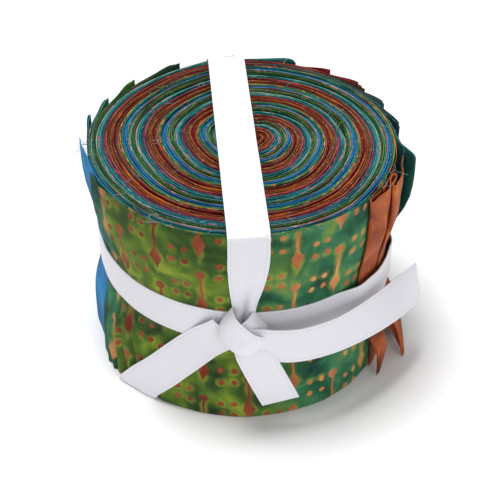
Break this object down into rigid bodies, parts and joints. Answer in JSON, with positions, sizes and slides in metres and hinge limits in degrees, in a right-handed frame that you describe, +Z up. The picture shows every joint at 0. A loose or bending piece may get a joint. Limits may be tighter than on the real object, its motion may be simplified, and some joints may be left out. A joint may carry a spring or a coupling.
{
  "type": "fabric strip roll",
  "caption": "Roll of folded patterned cotton quilting strips standing on end, tied parcel-wise with a white satin ribbon whose free end flies out at the right.",
  "frame": {"origin": "middle of the roll's flat underside, on the surface it stands on", "axes": "+Z up along the roll's winding axis, -Y towards the knot at the front, +X towards the flying ribbon end"},
  "size_m": [0.0946, 0.091, 0.0653],
  "materials": {
    "cotton_mixed": "matte",
    "cotton_green": "matte",
    "cotton_teal": "matte",
    "cotton_blue": "matte",
    "cotton_copper": "matte",
    "cotton_crimson": "matte",
    "satin_white": "satin"
  },
  "bodies": {
    "root": {"fabric_roll": "cotton_mixed", "loose_end_green": "cotton_green", "loose_end_sage": "cotton_green", "loose_end_blue": "cotton_blue", "loose_end_petrol": "cotton_teal", "loose_end_mint": "cotton_teal", "loose_end_moss": "cotton_green", "loose_end_teal": "cotton_teal", "loose_end_crimson": "cotton_crimson", "loose_end_slate": "cotton_teal", "loose_end_lagoon": "cotton_teal", "loose_end_copper": "cotton_copper", "ribbon_tie": "satin_white"}
  },
  "joints": []
}
